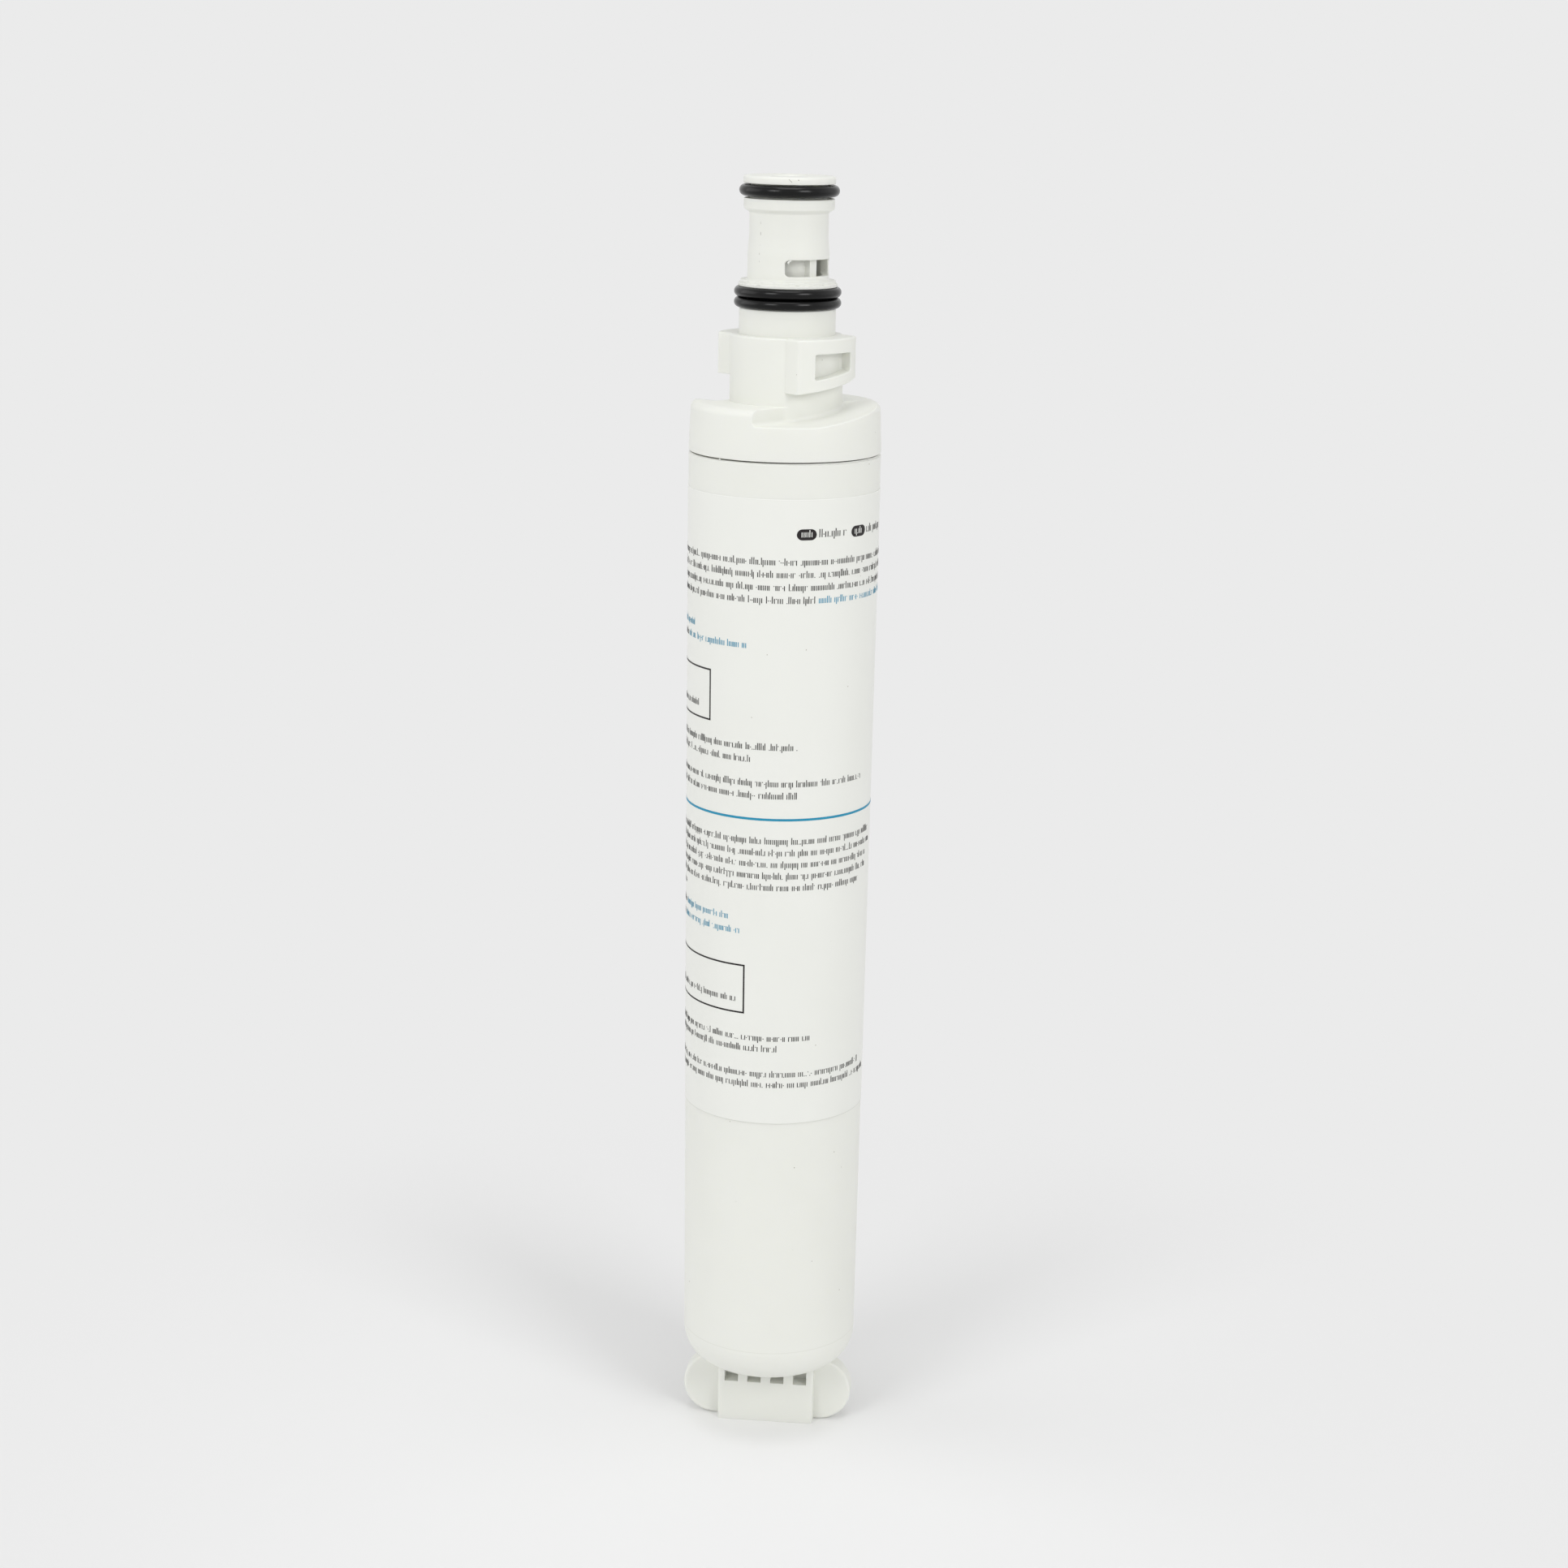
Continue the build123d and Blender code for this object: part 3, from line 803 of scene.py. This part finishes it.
# %% Frames, badges and rules
column_start = -62.0


def bar(start, end, level, height, piece_length=0.8):
    """A long bar along the label, in short pieces, with its middle at a level."""
    count = max(1, math.ceil((end - start) / piece_length))
    step = (end - start) / count
    return [rectangle(start + step * i, level - height / 2, step, height) for i in range(count)]


def box_frame(right, top, bottom, line=0.45):
    """A framed box that starts with the column."""
    middle = (top + bottom) / 2
    lefts = (column_start, right - line)
    uprights = [bar(left, left + line, middle, top - bottom + line) for left in lefts]
    levels = [bar(column_start + line, right - line, level, line) for level in (top, bottom)]
    return sum(uprights + levels, [])


def badge(left, right, level, height=2.9, slices=20):
    """A dark badge with half-round ends, in upright slices."""
    half = height / 2

    def cut(number):
        """Place along the badge and half height of one cut; the cuts lie closer at the ends."""
        along = left + (right - left) * (1 - math.cos(math.pi * number / slices)) / 2
        into_end = max(0.0, half - min(along - left, right - along))
        return along, math.sqrt(max(0.0, half * half - into_end * into_end))

    shapes = []
    for i in range(slices):
        start, low = cut(i)
        end, high = cut(i + 1)
        under = [(start, level - low), (end, level - high)]
        over = [(end, level + high), (start, level + low)]
        shapes.append(under + over)
    return shapes


print("a badge has", len(badge(0, 5, 0)), "slices")

# %% Places of the print
# Each black row has its level and its end, and each blue row its level, start and end.
black_rows = (
    (-16.55, 43.5), (-19.85, 45.5), (-23.25, 44.2), (-26.65, 8.7),
    (-38.85, -33.0), (-56.65, -25.4), (-65.95, 5.3), (-69.35, -7.7), (-75.85, 26.1), (-79.15, 5.1),
    (-91.55, 33.2), (-94.75, 33.6), (-97.95, 30.7), (-101.15, 31.7), (-104.35, 26.0), (-107.95, -34.2),
    (-113.25, -34.0), (-116.85, -35.5), (-136.05, -10.7), (-146.65, 11.3), (-149.65, 1.0),
    (-156.85, 29.7), (-159.85, 34.6),
)
blue_rows = (
    (-26.65, 9.7, 43.0), (-35.35, column_start, -27.1), (-38.85, -32.5, -9.0),
    (-113.25, -33.0, -13.5), (-116.85, -34.6, -8.8),
)
badge_level = -9.15
badges = ((3.5, 8.7), (19.3, 24.8))
badge_inset_left = 1.2
badge_inset_right = 0.9
badge_rows = ((9.4, 17.6), (25.5, 35.0))
badge_row_size = 1.15
# Each box has its right side, top and bottom.
boxes = ((-20.4, -46.75, -60.25), (-8.4, -126.35, -139.65))
rule_level = -85.45
rule_height = 0.65
label_radius = 25.0
half_turn = math.pi * label_radius
print(len(black_rows), "black rows and", len(blue_rows), "blue rows")

# %% Marks of the print
black_marks = [shape for level, end in black_rows for shape in row(column_start, end, level)]
for start, end in badge_rows:
    black_marks += row(start, end, badge_level, badge_row_size)
for left, right in badges:
    black_marks += badge(left, right, badge_level)
for right, top, bottom in boxes:
    black_marks += box_frame(right, top, bottom)
blue_marks = [shape for level, start, end in blue_rows for shape in row(start, end, level)]
blue_marks += bar(-half_turn, half_turn, rule_level, rule_height)
white_marks = []
for left, right in badges:
    white_marks += row(left + badge_inset_left, right - badge_inset_right, badge_level)
print(len(black_marks), "black,", len(blue_marks), "blue and", len(white_marks), "white shapes")

# %% [markdown]
# ## Wrapping the print
# The sump tapers, so the label is a cone and not a cylinder. Each corner of the flat print goes round the
# axis by its length along the label and out to the label's own radius at its level, which is measured on
# the label's mesh. The Bend of a Simple Deform modifier could roll it up, but not onto a cone. Solidify
# then gives the ink its thickness, outward from the film.

# %% Place of a mark on the label
label_points = [vertex.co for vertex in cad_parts["label"].data.vertices]
edge_reach = 0.1 * MM


def widest(points):
    """Greatest distance of some points from the axis."""
    return max(math.hypot(point.x, point.y) for point in points)


def on_label(along, level, lift):
    """Point of the flat print, in mm, on the wrapped label."""
    down = -level * MM / (label_high.z - label_low.z)
    out = radius_top + down * (radius_bottom - radius_top) + lift
    turn = along / label_radius
    return out * math.sin(turn), -out * math.cos(turn), label_high.z + level * MM


radius_top = widest(point for point in label_points if point.z > label_high.z - edge_reach)
radius_bottom = widest(point for point in label_points if point.z < label_low.z + edge_reach)
print("label's radius in mm: from", round(radius_top / MM, 2), "to", round(radius_bottom / MM, 2))

# %% Layers of print
ink_thickness = 0.015 * MM
ink_lift = 0.01 * MM
white_ink_lift = ink_lift + 1.5 * ink_thickness
merge_reach = 0.0005 * MM


def make_print(name, marks, ink, lift):
    """Makes a printed layer as one mesh, from flat shapes with four corners each."""
    points = [on_label(along, level, lift) for shape in marks for along, level in shape]
    faces = [list(range(4 * i, 4 * i + 4)) for i in range(len(marks))]
    mesh = bpy.data.meshes.new(name)
    mesh.from_pydata(points, [], faces)
    layer = bpy.data.objects.new(name, mesh)
    bpy.context.collection.objects.link(layer)
    deselect_all()
    layer.select_set(True)
    bpy.context.view_layer.objects.active = layer
    bpy.ops.object.mode_set(mode="EDIT")
    bpy.ops.mesh.select_all(action="SELECT")
    bpy.ops.mesh.remove_doubles(threshold=merge_reach)
    bpy.ops.object.mode_set(mode="OBJECT")
    thick = layer.modifiers.new("ink", "SOLIDIFY")
    thick.thickness = ink_thickness
    thick.offset = 1.0
    bpy.ops.object.modifier_apply(modifier=thick.name)
    layer.data.materials.append(ink)
    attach(layer, "root")
    print(name, "has", len(layer.data.polygons), "faces")


make_print("label_print_black", black_marks, black_ink, ink_lift)
make_print("label_print_blue", blue_marks, blue_ink, ink_lift)
make_print("label_print_white", white_marks, white_ink, white_ink_lift)

# %% [markdown]
# ## Bits of flash
# Where plastic was squeezed out of its place, thin bits of it are left. A curl of flash hangs in the
# corner of one window: a thin curve with a round bevel, thicker towards its free end, which is then made
# a mesh. In the weld seam, a bead of flash lies on the rim of the sump, so that the seam is thinner than
# the gap between the two mouldings. It is a thin torus whose points are shaken at random and smoothed
# again, tilted a little, because the seam is wider on the left. Two crumbs sit on it: small spheres that
# are shaken and flattened, because a crumb has no regular form.

# %% Curl of flash in the window
# Each point has its place and the curl's half thickness there, in mm, because the bevel is 1 mm deep.
curl_points = (
    (0.85, -10.3, 37.35, 0.16),
    (0.5, -10.45, 37.0, 0.2),
    (0.15, -10.55, 36.85, 0.25),
    (0.0, -10.55, 36.6, 0.3),
    (0.08, -10.5, 36.35, 0.22),
)
deselect_all()
bpy.ops.curve.primitive_nurbs_path_add()
window_curl = bpy.context.object
window_curl.name = "window_flash_curl"
curl_line = window_curl.data.splines[0]
for point, (x, y, z, half_thickness) in zip(curl_line.points, curl_points):
    point.co = (x * MM, y * MM, z * MM, 1.0)
    point.radius = half_thickness
curl_line.order_u = 3
curl_line.use_endpoint_u = True
window_curl.data.bevel_depth = MM
window_curl.data.bevel_resolution = 2
window_curl.data.use_fill_caps = True
bpy.ops.object.convert(target="MESH")
bpy.ops.object.shade_smooth()
window_curl.data.materials.append(polypropylene)
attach(window_curl, "root")
print(window_curl.name, "has", len(window_curl.data.polygons), "faces")

# %% Bead of flash in the weld seam
sump_rim_level = -13.6 * MM
bead_radius = 25.1 * MM
bead_half_thickness = 0.2 * MM
bead_unevenness = 0.2 * bead_half_thickness
bead_rise = 0.08 * MM
bead_tilt = math.asin(bead_rise / bead_radius)
bead_side = 0.98 * bead_radius

deselect_all()
bpy.ops.mesh.primitive_torus_add(
    major_radius=bead_radius,
    minor_radius=bead_half_thickness,
    major_segments=160,
    minor_segments=10,
    location=(0, 0, sump_rim_level),
)
weld_bead = bpy.context.object
weld_bead.name = "weld_flash_bead"
bpy.ops.object.mode_set(mode="EDIT")
bpy.ops.mesh.select_all(action="SELECT")
bpy.ops.transform.vertex_random(offset=bead_unevenness, seed=5)
bpy.ops.mesh.vertices_smooth(factor=0.5, repeat=2)
bpy.ops.transform.rotate(value=bead_tilt, orient_axis="Y", center_override=(0, 0, sump_rim_level))
bpy.ops.object.mode_set(mode="OBJECT")
bpy.ops.object.transform_apply(location=True, rotation=True, scale=True)
bpy.ops.object.shade_smooth()
weld_bead.data.materials.append(polypropylene)
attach(weld_bead, "root")
for side, sign in (("left", -1), ("right", 1)):
    side_points = [vertex.co for vertex in weld_bead.data.vertices if sign * vertex.co.x > bead_side]
    bead_top = max(point.z for point in side_points)
    print("bead's top on the", side, "in mm:", round(bead_top / MM, 2))

# %% Crumbs in the weld seam
crumb_places = (Vector((-16.74, -19.1, -13.36)) * MM, Vector((21.87, -12.92, -13.36)) * MM)
crumb_radius = 0.21 * MM
crumb_unevenness = 0.45 * crumb_radius
crumb_stretch = (1.5, 1.0, 0.9)

crumb_pieces = []
for seed, spot in enumerate(crumb_places):
    deselect_all()
    bpy.ops.mesh.primitive_ico_sphere_add(subdivisions=2, radius=crumb_radius, location=spot)
    crumb_pieces.append(bpy.context.object)
    bpy.ops.object.mode_set(mode="EDIT")
    bpy.ops.mesh.select_all(action="SELECT")
    bpy.ops.transform.vertex_random(offset=crumb_unevenness, seed=seed)
    bpy.ops.transform.resize(value=crumb_stretch)
    bpy.ops.object.mode_set(mode="OBJECT")
deselect_all()
for crumb in crumb_pieces:
    crumb.select_set(True)
bpy.context.view_layer.objects.active = crumb_pieces[0]
bpy.ops.object.join()
weld_crumbs = bpy.context.object
weld_crumbs.name = "weld_flash_crumbs"
bpy.ops.object.transform_apply(location=True, rotation=True, scale=True)
weld_crumbs.data.materials.append(polypropylene)
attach(weld_crumbs, "root")
print(weld_crumbs.name, "has", len(weld_crumbs.data.polygons), "faces")
